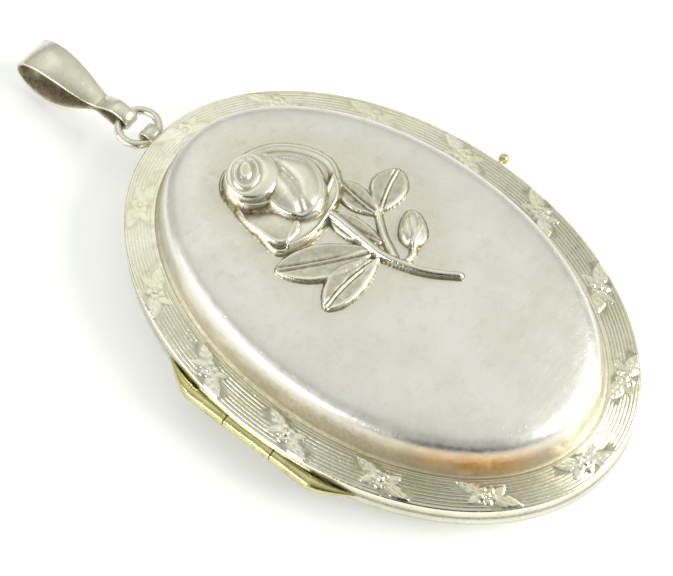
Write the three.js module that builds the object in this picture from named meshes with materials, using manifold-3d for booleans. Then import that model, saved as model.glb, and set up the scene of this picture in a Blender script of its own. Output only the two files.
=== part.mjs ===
// Oval photo locket lying on its back: two stamped covers, a side hinge, photo frames, ring and bail.
// Millimetres, +Z up. The origin is the middle of the flat the back cover rests on,
// +Y points to the bail and -X to the hinge.
import * as THREE from 'three';
import { mergeVertices } from 'three/addons/utils/BufferGeometryUtils.js';
import Module from 'manifold-3d';

const wasm = await Module();
wasm.setup();

// ---- driving dimensions -------------------------------------------------------------------
const HALF_LENGTH = 24; // oval, along Y
const HALF_WIDTH = 16.25; // oval, along X
const SHEET = 0.45; // stamped sheet thickness
const SEAM_Z = 3.6; // height where the two covers meet
const BORDER = 2.7; // width of the engine-turned border
const BAND = 1.3; // height of the front cover's plain edge band
const DOME = 6.05; // front dome above the seam
const OVAL_STEPS = 72; // points round the oval

const AXIS_X = -HALF_WIDTH - 0.1; // hinge axis
const KNUCKLE_R = 0.62;
const BORE_R = 0.34;
const PIN_R = 0.3;
const MIDDLE_HALF = 2.4; // half length of the middle knuckle
const HINGE_HALF = 6.4; // half length of the whole hinge bar
const WING_HALF = 9.8; // where the tapered wings end
const KNUCKLE_GAP = 0.06;
const NOTCH_CLEARANCE = 0.1;

const COLLAR_SHEET = 0.3;
const COLLAR_GAP = 0.05; // between the snap collar and the front cover's wall
const COLLAR_RISE = 0.65; // collar above the seam
const COLLAR_CUT = 11; // the collar stops this far either side of the hinge's middle

const CARD = 0.2;
const GLAZING = 0.26;
const FRAME_LIP = 0.22;
const LAYER_GAP = 0.02;

const EYE_R = 0.95;
const EYE_HOLE_R = 0.75;
const EYE_LENGTH = 1.4;
const RING_R = 1.75; // jump ring, to the middle of its wire
const WIRE_R = 0.38;
const STRIP = 0.36; // bail strip thickness
const BAIL_DROOP = -8; // degrees: the bail lies on the same surface as the locket

// ---- materials ----------------------------------------------------------------------------
const silver = (roughness) => new THREE.MeshStandardMaterial({ color: 0xd5d0c2, roughness, metalness: 1 });
const brass = () => new THREE.MeshStandardMaterial({ color: 0xbcae74, roughness: 0.35, metalness: 1 });
const paper = () => new THREE.MeshStandardMaterial({ color: 0xe6dcc4, roughness: 0.9 });
const celluloid = () => new THREE.MeshStandardMaterial({
  color: 0xf2f0e4, roughness: 0.1, transparent: true, opacity: 0.35,
});

const locket = new THREE.Group();

function place(name, geometry, material) {
  const mesh = new THREE.Mesh(geometry, material);
  mesh.name = name;
  locket.add(mesh);
}

// ---- solids -------------------------------------------------------------------------------
function toSolid(geometry) {
  const bare = new THREE.BufferGeometry();
  bare.setAttribute('position', geometry.getAttribute('position').clone());
  if (geometry.index) bare.setIndex(geometry.index.clone());
  const merged = mergeVertices(bare, 1e-4);
  return new wasm.Manifold(new wasm.Mesh({
    numProp: 3,
    vertProperties: new Float32Array(merged.getAttribute('position').array),
    triVerts: new Uint32Array(merged.index.array),
  }));
}

function toGeometry(solid) {
  const mesh = solid.getMesh();
  const geometry = new THREE.BufferGeometry();
  geometry.setAttribute('position', new THREE.BufferAttribute(mesh.vertProperties, 3));
  geometry.setIndex(new THREE.BufferAttribute(mesh.triVerts, 1));
  geometry.computeVertexNormals();
  return geometry;
}

const join = (solids) => solids.reduce((sum, next) => sum.add(next));

function block(x0, x1, y0, y1, z0, z1) {
  const box = new THREE.BoxGeometry(x1 - x0, y1 - y0, z1 - z0);
  box.translate((x0 + x1) / 2, (y0 + y1) / 2, (z0 + z1) / 2);
  return toSolid(box);
}

function rodAlongY(x, z, radius, y0, y1) {
  const rod = new THREE.CylinderGeometry(radius, radius, y1 - y0, 20);
  rod.translate(x, (y0 + y1) / 2, z);
  return toSolid(rod);
}

// ---- oval lofts ---------------------------------------------------------------------------
// A profile point is [inset, z]: how far inside the oval's outer edge, and the height.
// Small insets run parallel to the edge; past INNER_LIMIT the ovals shrink towards the centre.
const INNER_LIMIT = 6;

function semiAxes(inset) {
  if (inset <= INNER_LIMIT) return [HALF_WIDTH - inset, HALF_LENGTH - inset];
  const scale = (HALF_WIDTH - inset) / (HALF_WIDTH - INNER_LIMIT);
  return [(HALF_WIDTH - INNER_LIMIT) * scale, (HALF_LENGTH - INNER_LIMIT) * scale];
}

function ovalPoint(inset, turn) {
  const [a, b] = semiAxes(inset);
  const angle = turn * 2 * Math.PI;
  return [a * Math.cos(angle), b * Math.sin(angle)];
}

// Sweeps a profile round the oval. A closed profile comes back to its first point; an open one
// starts and ends on the axis. The profile runs up the outside and down the inside, so that
// the faces point out.
function ovalLoft(profile, closed) {
  const positions = [];
  const index = [];
  const rows = profile.map(([inset, z]) => {
    const start = positions.length / 3;
    if (inset >= HALF_WIDTH) {
      positions.push(0, 0, z);
      return { start, single: true };
    }
    for (let i = 0; i < OVAL_STEPS; i += 1) {
      const [x, y] = ovalPoint(inset, i / OVAL_STEPS);
      positions.push(x, y, z);
    }
    return { start, single: false };
  });
  const at = (row, i) => row.start + (row.single ? 0 : i % OVAL_STEPS);
  const bands = closed ? rows.length : rows.length - 1;
  for (let r = 0; r < bands; r += 1) {
    const low = rows[r];
    const high = rows[(r + 1) % rows.length];
    for (let i = 0; i < OVAL_STEPS; i += 1) {
      if (!low.single) index.push(at(low, i), at(low, i + 1), at(high, i));
      if (!high.single) index.push(at(low, i + 1), at(high, i + 1), at(high, i));
    }
  }
  const geometry = new THREE.BufferGeometry();
  geometry.setAttribute('position', new THREE.Float32BufferAttribute(positions, 3));
  geometry.setIndex(index);
  geometry.computeVertexNormals();
  return geometry;
}

const ovalPlate = (inset, z0, z1) => ovalLoft(
  [[HALF_WIDTH, z0], [inset, z0], [inset, z1], [HALF_WIDTH, z1]],
  false,
);

// ---- covers -------------------------------------------------------------------------------
const RIDGES = 5;
const RIDGE_HEIGHT = 0.07;

const FRONT_LEDGE = 1; // inner ledge above the seam

// Outside of the front cover from the seam to the middle of the dome.
function frontOuterProfile() {
  const z = (rise) => SEAM_Z + rise;
  const points = [[0, z(0)], [0, z(BAND - 0.2)], [0.15, z(BAND)]];
  const pitch = (BORDER - 0.5) / RIDGES;
  for (let i = 0; i < RIDGES; i += 1) {
    const inset = 0.35 + i * pitch;
    const rise = BAND + 0.02 + i * 0.07;
    points.push([inset, z(rise)], [inset + pitch / 2, z(rise + RIDGE_HEIGHT + 0.03)]);
  }
  const wall = [[0, 1.62], [0.3, 1.85], [0.5, 2.5], [0.7, 3.6], [1, 4.4], [1.5, 4.9], [2.5, 5.25]];
  wall.forEach(([inset, rise]) => points.push([BORDER + inset, z(rise)]));
  points.push([8, z(5.65)], [12, z(DOME - 0.1)], [HALF_WIDTH, z(DOME)]);
  return points;
}

function frontInnerProfile() {
  const z = (rise) => SEAM_Z + rise;
  const wall = [[2.7, 4.8], [1.9, 4.5], [1.45, 4.1], [1.15, 3.4], [0.95, 2.4], [0.7, FRONT_LEDGE]];
  return [
    [HALF_WIDTH, z(DOME - SHEET)], [12, z(DOME - 0.1 - SHEET)], [8, z(5.65 - SHEET)],
    ...wall.map(([inset, rise]) => [BORDER + inset, z(rise)]),
    [SHEET, z(FRONT_LEDGE)], [SHEET, z(0)],
  ];
}

const BACK_LEDGE = 0.9; // inner ledge below the seam
const LEDGE_SHEET = 0.5;

function backProfile() {
  const z = (drop) => SEAM_Z - drop;
  return [
    [HALF_WIDTH, 0], [6.4, 0], [5.5, 0.2], [4.5, 1.1], [BORDER, z(BACK_LEDGE + LEDGE_SHEET)],
    [0.25, z(BACK_LEDGE + LEDGE_SHEET)], [0, z(BACK_LEDGE + 0.25)], [0, z(0)], [SHEET, z(0)],
    [SHEET, z(BACK_LEDGE)], [BORDER, z(BACK_LEDGE)], [4.4, 1.85], [5.3, 0.85], [6.4, 0.5], [HALF_WIDTH, 0.5],
  ];
}

// Height of the front cover's outside at a point, read from its profile.
function frontHeight(x, y) {
  let low = 0;
  let high = HALF_WIDTH;
  for (let i = 0; i < 40; i += 1) {
    const middle = (low + high) / 2;
    const [a, b] = semiAxes(middle);
    if ((x / a) ** 2 + (y / b) ** 2 > 1) high = middle;
    else low = middle;
  }
  const points = frontOuterProfile();
  const next = Math.max(1, points.findIndex(([inset]) => inset > low));
  const [i0, z0] = points[next - 1];
  const [i1, z1] = points[next];
  return z0 + ((z1 - z0) * (low - i0)) / (i1 - i0);
}

// ---- rose relief, struck in one with the front cover ----------------------------------------
const SUNK = 0.25; // how far a relief piece reaches down into the sheet
const LEAF_BEVEL = 0.25;

function bump(x, y, rx, ry, height, turn) {
  const shape = new THREE.SphereGeometry(1, 14, 8);
  shape.rotateX(Math.PI / 2);
  shape.scale(rx, ry, height);
  shape.rotateZ(turn);
  shape.translate(x, y, frontHeight(x, y));
  const floor = frontHeight(x, y) - SUNK;
  return toSolid(shape).subtract(block(x - 9, x + 9, y - 9, y + 9, floor - 9, floor));
}

// A pointed leaf from its base to its tip, with bevelled edges.
function leaf(base, tip, width, height) {
  const length = Math.hypot(tip[0] - base[0], tip[1] - base[1]);
  const outline = new THREE.Shape();
  outline.moveTo(0, 0);
  outline.quadraticCurveTo(length * 0.35, -width, length, 0);
  outline.quadraticCurveTo(length * 0.35, width, 0, 0);
  const shape = new THREE.ExtrudeGeometry(outline, {
    depth: SUNK, curveSegments: 5, bevelSize: LEAF_BEVEL, bevelOffset: -LEAF_BEVEL,
    bevelThickness: height / 2, bevelSegments: 1,
  });
  const middle = [(base[0] + tip[0]) / 2, (base[1] + tip[1]) / 2];
  shape.rotateZ(Math.atan2(tip[1] - base[1], tip[0] - base[0]));
  shape.translate(base[0], base[1], frontHeight(...middle) + height / 2 - SUNK);
  return toSolid(shape);
}

function stalk(points, radius) {
  const path = new THREE.CatmullRomCurve3(
    points.map(([x, y]) => new THREE.Vector3(x, y, frontHeight(x, y) + radius * 0.35)),
  );
  const section = new THREE.Shape();
  section.absarc(0, 0, radius, 0, Math.PI * 2);
  const shape = new THREE.ExtrudeGeometry(section, { extrudePath: path, steps: 10, curveSegments: 4 });
  return toSolid(shape);
}

// The open flower: a spiral bud of stepped rings.
function bud(x, y) {
  const rings = [[0, -SUNK], [2.7, -SUNK], [2.6, 0.5], [2.2, 1.05], [1.95, 0.9], [1.5, 1.4], [1.25, 1.2]];
  rings.push([0.8, 1.6], [0.55, 1.4], [0.3, 1.7], [0, 1.7]);
  const shape = new THREE.LatheGeometry(rings.map(([r, h]) => new THREE.Vector2(r, h)), 18);
  shape.rotateX(Math.PI / 2);
  shape.scale(0.85, 1.05, 1);
  shape.rotateZ(-0.6);
  shape.translate(x, y, frontHeight(x, y));
  return toSolid(shape);
}

function rose() {
  return [
    bump(0.6, 9.6, 3.1, 3.8, 1.45, -0.25),
    bump(-2.6, 9.6, 1.7, 3.4, 0.9, 0.25),
    bump(3.2, 10.6, 2, 4.2, 0.8, 0.3),
    bump(0.2, 7.2, 3.9, 1.9, 0.7, 0.3),
    bud(-1.1, 12.9),
    leaf([0.4, 0.8], [-5.6, 6], 3.2, 0.7),
    leaf([0, 0.3], [-5.8, 0.8], 2.9, 0.7),
    leaf([1.6, 0.4], [1.5, 5.4], 2.2, 0.5),
    leaf([3.6, 2.8], [7.9, 4.3], 2.6, 0.6),
    leaf([3.2, 3], [3.7, 7.4], 1.9, 0.5),
    bump(4.3, 0, 1.2, 1.6, 0.75, -0.8),
    stalk([[3.7, 3.2], [2, 1.2], [0.9, -1]], 0.3),
    stalk([[0.2, 1.6], [0.7, -0.6], [1.4, -2.6], [3.1, -5.8]], 0.42),
    stalk([[1.1, -1.6], [2.4, -1.5], [3.8, -0.7]], 0.28),
  ];
}

// ---- flowers on the border ----------------------------------------------------------------
const FLOWERS = 14;

function borderFlower(turn) {
  const [x, y] = ovalPoint(BORDER / 2, turn);
  const petals = 5;
  const corners = Array.from({ length: petals * 4 }, (_, i) => {
    const angle = (i * Math.PI) / (petals * 2);
    const radius = 0.82 + 0.22 * Math.cos(petals * angle);
    return new THREE.Vector2(radius * Math.cos(angle), radius * Math.sin(angle));
  });
  const outline = new THREE.Shape(corners);
  const shape = new THREE.ExtrudeGeometry(outline, { depth: 0.5, bevelEnabled: false });
  shape.translate(x, y, frontHeight(x, y) - 0.28);
  return toSolid(shape);
}

const knuckleNotch = rodAlongY(
  AXIS_X, SEAM_Z, KNUCKLE_R + NOTCH_CLEARANCE, -HINGE_HALF - NOTCH_CLEARANCE, HINGE_HALF + NOTCH_CLEARANCE,
);

function frontCover() {
  const shell = toSolid(ovalLoft([...frontOuterProfile(), ...frontInnerProfile()], true));
  const flowers = Array.from({ length: FLOWERS }, (_, i) => borderFlower((i + 0.4) / FLOWERS));
  return toGeometry(join([shell, ...rose(), ...flowers]).subtract(knuckleNotch));
}

function backCover() {
  return toGeometry(toSolid(ovalLoft(backProfile(), false)).subtract(knuckleNotch));
}

place('front_cover', frontCover(), silver(0.35));
place('back_cover', backCover(), silver(0.35));

// ---- snap collar: an open band inside the back cover that the front cover clicks over --------
function snapCollar() {
  const foot = SEAM_Z - BACK_LEDGE;
  const top = SEAM_Z + COLLAR_RISE;
  const outer = SHEET + COLLAR_GAP;
  const inner = outer + COLLAR_SHEET;
  const band = toSolid(ovalLoft([[outer, foot], [outer, top], [inner, top], [inner, foot]], true));
  return toGeometry(band.subtract(block(-HALF_WIDTH, 0, -COLLAR_CUT, COLLAR_CUT, 0, SEAM_Z + 2)));
}

place('snap_collar', snapCollar(), brass());

// ---- photo frames, glazing and cards ------------------------------------------------------
// Each cover's ledge carries a card, a clear sheet over it and a frame pressed round both.
const FRAME_INSET = 0.9;
const PLATE_INSET = 1.2;
const LIP_INSET = 2.6;

function photoFrame(ledge, side) {
  const z = (offset) => ledge + side * offset;
  const top = 2 * LAYER_GAP + CARD + GLAZING + FRAME_LIP;
  const under = top - FRAME_LIP + LAYER_GAP;
  const profile = [
    [FRAME_INSET, z(0)], [FRAME_INSET, z(top)], [LIP_INSET, z(top)], [LIP_INSET, z(under)],
    [PLATE_INSET - 0.03, z(under)], [PLATE_INSET - 0.03, z(0)],
  ];
  return ovalLoft(side > 0 ? profile : profile.reverse(), true);
}

function photoSet(side, ledge, name) {
  const z = (offset) => ledge + side * offset;
  const plate = (low, high) => ovalPlate(PLATE_INSET, Math.min(z(low), z(high)), Math.max(z(low), z(high)));
  place(`${name}_photo_card`, plate(LAYER_GAP, LAYER_GAP + CARD), paper());
  const glazingLow = 2 * LAYER_GAP + CARD;
  place(`${name}_photo_window`, plate(glazingLow, glazingLow + GLAZING - LAYER_GAP), celluloid());
  place(`${name}_photo_frame`, photoFrame(ledge, side), brass());
}

photoSet(1, SEAM_Z - BACK_LEDGE, 'back');
photoSet(-1, SEAM_Z + FRONT_LEDGE, 'front');

// ---- hinge --------------------------------------------------------------------------------
const LEAF_X = -15.69; // the middle knuckle's leaf stands just inside the front cover's wall
const LEAF_THICK = 0.24;
const LEAF_TOP = 0.95;
const FOOT_HALF = 0.3;
const WING_TOP = -0.02; // below the seam, clear of the front cover
const WING_HEIGHT = 0.56;

const barrel = (y0, y1) => rodAlongY(AXIS_X, SEAM_Z, KNUCKLE_R, y0, y1);
const bore = rodAlongY(AXIS_X, SEAM_Z, BORE_R, -HINGE_HALF - 1, HINGE_HALF + 1);

// The middle knuckle carries the front cover on a leaf.
function middleKnuckle() {
  const ends = [-MIDDLE_HALF, MIDDLE_HALF];
  const leafEnd = LEAF_X + LEAF_THICK;
  const foot = block(AXIS_X, leafEnd, ...ends, SEAM_Z - FOOT_HALF, SEAM_Z + FOOT_HALF);
  const plate = block(LEAF_X, leafEnd, ...ends, SEAM_Z - FOOT_HALF, SEAM_Z + LEAF_TOP);
  return toGeometry(join([barrel(...ends), foot, plate]).subtract(bore));
}

// An end knuckle is soldered to the back cover and tapers off along the oval as a wing.
function endKnuckle(side) {
  const wallX = (y) => -HALF_WIDTH * Math.sqrt(1 - (y / HALF_LENGTH) ** 2) - 0.02;
  const start = HINGE_HALF - 0.4;
  const outline = new THREE.Shape();
  outline.moveTo(wallX(start), start);
  outline.lineTo(wallX(start + 1.4), start + 1.4);
  outline.lineTo(wallX(start + 2.7), start + 2.7);
  outline.lineTo(wallX(WING_HALF), WING_HALF);
  outline.quadraticCurveTo(AXIS_X + 0.1, HINGE_HALF + 2, AXIS_X - KNUCKLE_R, HINGE_HALF);
  outline.lineTo(AXIS_X - KNUCKLE_R, start);
  const wing = new THREE.ExtrudeGeometry(outline, {
    depth: WING_HEIGHT, curveSegments: 6, bevelEnabled: false,
  });
  wing.translate(0, 0, SEAM_Z + WING_TOP - WING_HEIGHT);
  const upper = barrel(MIDDLE_HALF + KNUCKLE_GAP, HINGE_HALF).add(toSolid(wing)).subtract(bore);
  return toGeometry(side > 0 ? upper : upper.mirror([0, 1, 0]));
}

place('hinge_knuckle_middle', middleKnuckle(), brass());
place('hinge_knuckle_upper', endKnuckle(1), brass());
place('hinge_knuckle_lower', endKnuckle(-1), brass());
place('hinge_pin', toGeometry(rodAlongY(AXIS_X, SEAM_Z, PIN_R, -HINGE_HALF, HINGE_HALF)), brass());

// ---- thumb stud: a ball on a short post, soldered to the front cover's band -----------------
function thumbStud() {
  const profile = [[0, 0], [0.24, 0], [0.24, 0.42]];
  const ball = 0.48;
  for (let i = 1; i <= 7; i += 1) {
    const angle = 0.5 + (i * (Math.PI - 0.5)) / 7;
    profile.push([ball * Math.sin(angle), 0.84 - ball * Math.cos(angle)]);
  }
  profile[profile.length - 1][0] = 0;
  const shape = new THREE.LatheGeometry(profile.map(([r, h]) => new THREE.Vector2(r, h)), 14);
  shape.rotateZ(-Math.PI / 2);
  shape.translate(HALF_WIDTH, 0, SEAM_Z + 0.6);
  return shape;
}

place('thumb_stud', thumbStud(), brass());

// ---- suspension: eye on the back cover's edge, jump ring and bail ---------------------------
const EYE_Y = HALF_LENGTH + EYE_R;

function suspensionEye() {
  const tube = new THREE.CylinderGeometry(EYE_R, EYE_R, EYE_LENGTH, 24);
  const hole = new THREE.CylinderGeometry(EYE_HOLE_R, EYE_HOLE_R, EYE_LENGTH + 2, 24);
  for (const shape of [tube, hole]) {
    shape.rotateZ(Math.PI / 2);
    shape.translate(0, EYE_Y, SEAM_Z);
  }
  const half = EYE_LENGTH / 2;
  const foot = block(-half, half, HALF_LENGTH + 0.01, HALF_LENGTH + 0.35, SEAM_Z - 0.75, SEAM_Z - 0.05);
  return toGeometry(toSolid(tube).add(foot).subtract(toSolid(hole)));
}

// The ring's wire leans against the hole's inner side, which leaves room for its curve.
const RING_Y = EYE_Y - 0.3 + RING_R;

function jumpRing() {
  const ring = new THREE.TorusGeometry(RING_R, WIRE_R, 10, 32);
  ring.translate(0, RING_Y, SEAM_Z);
  return ring;
}

// The bail is one strip bent into a small loop round the ring, a pinch and a long upper loop.
// Its centre line runs [along, up, half width] from the ring's wire, for the top side.
const BAIL_LINE = [
  [-0.9, 0, 0.7], [-0.55, 0.62, 0.7], [0.5, 0.95, 0.72], [1.7, 0.62, 0.75], [2.6, 0.25, 0.8],
  [3.4, 0.36, 0.95], [5, 1.05, 1.3], [6.9, 1.75, 1.55], [8.7, 1.95, 1.65], [10.2, 1.55, 1.65],
  [11, 0.7, 1.65], [11.2, 0, 1.65],
];

function bailStrip() {
  const under = BAIL_LINE.slice(1, -1).reverse().map(([along, up, half]) => [along, -up, half]);
  const knots = [...BAIL_LINE, ...under].map(([along, up, half]) => new THREE.Vector3(along, up, half));
  const line = new THREE.CatmullRomCurve3(knots, true, 'centripetal');
  const steps = 64;
  const positions = [];
  const index = [];
  for (let i = 0; i < steps; i += 1) {
    const { x: along, y: up, z: half } = line.getPoint(i / steps);
    const ahead = line.getTangent(i / steps);
    const flat = Math.hypot(ahead.x, ahead.y);
    const out = [-ahead.y / flat, ahead.x / flat];
    for (const [side, layer] of [[-1, 1], [1, 1], [1, -1], [-1, -1]]) {
      const offset = (layer * STRIP) / 2;
      positions.push(side * half, along + out[0] * offset, up + out[1] * offset);
    }
    const next = ((i + 1) % steps) * 4;
    for (let k = 0; k < 4; k += 1) {
      const j = (k + 1) % 4;
      index.push(i * 4 + k, i * 4 + j, next + k, i * 4 + j, next + j, next + k);
    }
  }
  const strip = new THREE.BufferGeometry();
  strip.setAttribute('position', new THREE.Float32BufferAttribute(positions, 3));
  strip.setIndex(index);
  strip.rotateX(THREE.MathUtils.degToRad(BAIL_DROOP));
  strip.translate(0, RING_Y + RING_R, SEAM_Z);
  strip.computeVertexNormals();
  return strip;
}

place('suspension_eye', suspensionEye(), silver(0.35));
place('jump_ring', jumpRing(), silver(0.3));
place('bail', bailStrip(), silver(0.35));

export default locket;
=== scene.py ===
"""Studio picture of the oval photo locket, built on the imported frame.

Everything is in metres in the frame's axes: +Z up through the covers, +Y towards the bail,
-X towards the hinge. MM turns the millimetre sizes below into metres.
"""
import math

import bpy
import numpy as np
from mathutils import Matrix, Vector


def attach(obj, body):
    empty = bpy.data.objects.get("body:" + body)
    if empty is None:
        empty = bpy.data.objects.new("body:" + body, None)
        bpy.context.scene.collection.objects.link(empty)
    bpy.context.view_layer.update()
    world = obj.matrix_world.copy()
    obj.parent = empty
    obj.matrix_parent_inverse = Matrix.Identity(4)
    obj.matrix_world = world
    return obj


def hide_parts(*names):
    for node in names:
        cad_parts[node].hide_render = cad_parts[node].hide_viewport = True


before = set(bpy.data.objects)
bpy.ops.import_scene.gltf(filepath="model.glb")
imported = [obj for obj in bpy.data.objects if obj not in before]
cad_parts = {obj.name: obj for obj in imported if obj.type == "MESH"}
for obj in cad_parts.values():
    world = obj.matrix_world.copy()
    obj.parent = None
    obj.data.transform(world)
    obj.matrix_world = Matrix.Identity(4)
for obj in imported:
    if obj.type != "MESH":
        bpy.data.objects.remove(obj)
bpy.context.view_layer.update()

MM = 0.001

# ---- driving dimensions, millimetres -------------------------------------------------------
HALF_LENGTH = 24.0
HALF_WIDTH = 16.25
INNER_LIMIT = 6.0        # past this inset the ovals shrink towards the centre
CENTRE = HALF_WIDTH - 0.01   # inset of a row that closes a plate at the middle
SHEET = 0.45
SEAM_Z = 3.6
BORDER = 2.7             # width of the patterned border
BAND = 1.3               # plain edge band above the seam
DOME = 6.05              # dome above the seam
FRONT_LEDGE = 1.0
BACK_LEDGE = 0.9

AXIS_X = -HALF_WIDTH - 0.1
KNUCKLE_R = 0.62
BORE_R = 0.34
PIN_R = 0.3
MIDDLE_HALF = 2.4
HINGE_HALF = 6.4
WING_HALF = 9.8
NOTCH_R = KNUCKLE_R + 0.1
SHARP = 35.0             # edges steeper than this stay crisp, degrees
OVAL_STEPS = 288
COVER_STEPS = 480
RIM_STEPS = 1500         # the patterned border needs a finer oval

EYE_R = 0.95
EYE_HOLE_R = 0.75
EYE_LENGTH = 1.4
RING_R = 1.75
WIRE_R = 0.38
RING_START = HALF_LENGTH + EYE_R - 0.3   # where the ring's middle line meets the eye
STRIP = 0.36
STUD_R = 0.48
BAIL_DROOP = -8.0        # degrees


# ---- mesh helpers --------------------------------------------------------------------------
def add_object(name, vertices, faces, material, attributes=None):
    """A smooth-shaded mesh object from millimetre points."""
    mesh = bpy.data.meshes.new(name)
    mesh.from_pydata((np.asarray(vertices, float) * MM).tolist(), [], [list(f) for f in faces])
    for key, values in (attributes or {}).items():
        layer = mesh.attributes.new(key, "FLOAT", "POINT")
        layer.data.foreach_set("value", np.asarray(values, np.float32))
    mesh.materials.append(material)
    mesh.update()
    obj = bpy.data.objects.new(name, mesh)
    bpy.context.scene.collection.objects.link(obj)
    mesh.shade_smooth()
    return obj


def own(obj, body, slot, *nodes):
    """The piece rides on a body and stands for CAD nodes; the slot is not used."""
    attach(obj, body)
    if nodes:
        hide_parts(*nodes)
    return obj


def sharp_edges(obj, degrees=SHARP):
    """Keeps edges sharper than the angle crisp."""
    obj.data.set_sharp_from_angle(angle=math.radians(degrees))
    return obj


def bevel(obj, width):
    """Rounds the sharp edges by width millimetres."""
    modifier = obj.modifiers.new("bevel", "BEVEL")
    modifier.width = width * MM
    modifier.segments = 3
    modifier.limit_method = "ANGLE"
    modifier.angle_limit = math.radians(SHARP)
    return obj


def grid_faces(rows, columns, wrap_rows, wrap_columns):
    """Quads of a grid of rows x columns points, indexed row by row."""
    faces = []
    for r in range(rows if wrap_rows else rows - 1):
        for c in range(columns if wrap_columns else columns - 1):
            r1 = (r + 1) % rows
            c1 = (c + 1) % columns
            faces.append((r * columns + c, r * columns + c1, r1 * columns + c1, r1 * columns + c))
    return faces


def semi_axes(inset):
    """Half width and half length of the oval at an inset."""
    inset = np.asarray(inset, float)
    scale = np.where(inset <= INNER_LIMIT, 1.0, (HALF_WIDTH - inset) / (HALF_WIDTH - INNER_LIMIT))
    near = np.minimum(inset, INNER_LIMIT)
    return (HALF_WIDTH - near) * scale, (HALF_LENGTH - near) * scale


def spline_span(p0, p1, p2, p3, count):
    """Catmull-Rom points from p1 up to p2, without p2."""
    return [0.5 * (2 * p1 + (p2 - p0) * t + (2 * p0 - 5 * p1 + 4 * p2 - p3) * t ** 2
                   + (3 * p1 - p0 - 3 * p2 + p3) * t ** 3) for t in np.arange(count) / count]


def smooth_profile(points, spacing):
    """An open smooth line through the points, sampled about every spacing millimetres."""
    points = np.asarray(points, float)
    padded = np.vstack([2 * points[0] - points[1], points, 2 * points[-1] - points[-2]])
    out = []
    for i in range(1, len(padded) - 2):
        count = max(2, int(np.linalg.norm(padded[i + 1] - padded[i]) / spacing))
        out += spline_span(*padded[i - 1:i + 3], count)
    out.append(points[-1])
    return np.array(out)


def oval_points(profile, steps):
    """Grid of points (rows of the profile x steps round the oval)."""
    a, b = semi_axes(profile[:, 0])
    angle = np.arange(steps) / steps * 2 * np.pi
    x = a[:, None] * np.cos(angle)
    y = b[:, None] * np.sin(angle)
    z = np.repeat(profile[:, 1][:, None], steps, axis=1)
    return np.stack([x, y, z], -1)


def oval_piece(name, profile, material, closed=True):
    """A ring or shell swept round the oval."""
    profile = np.asarray(profile, float)
    points = oval_points(profile, OVAL_STEPS)
    faces = grid_faces(len(profile), OVAL_STEPS, closed, True)
    return add_object(name, points.reshape(-1, 3), faces, material)


def lathe(name, profile, centre, axis, material, steps=48):
    """Turns [radius, along] points round an axis ("X" or "Y") through centre."""
    profile = np.asarray(profile, float)
    angle = np.arange(steps) / steps * 2 * np.pi
    along = np.repeat(profile[:, 1][:, None], steps, axis=1)
    u = profile[:, 0][:, None] * np.cos(angle)
    v = profile[:, 0][:, None] * np.sin(angle)
    order = {"X": (along, u, v), "Y": (v, along, u)}[axis]
    points = np.stack(order, -1).reshape(-1, 3) + np.asarray(centre, float)
    closed = bool(np.allclose(profile[0], profile[-1]))
    if closed:
        points = points[:-steps]
        profile = profile[:-1]
    return add_object(name, points, grid_faces(len(profile), steps, closed, True), material)


def prism(name, outline, z0, z1, material):
    """An outline of [x, y] points raised from z0 to z1."""
    count = len(outline)
    vertices = [(x, y, z0) for x, y in outline] + [(x, y, z1) for x, y in outline]
    sides = [(i, (i + 1) % count, count + (i + 1) % count, count + i) for i in range(count)]
    faces = sides + [tuple(range(count))[::-1], tuple(range(count, 2 * count))]
    return add_object(name, vertices, faces, material)


# ---- node materials ------------------------------------------------------------------------
MIX_COLOUR_A, MIX_COLOUR_B, MIX_COLOUR_RESULT = 6, 7, 2     # a Mix node's colour sockets


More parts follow.
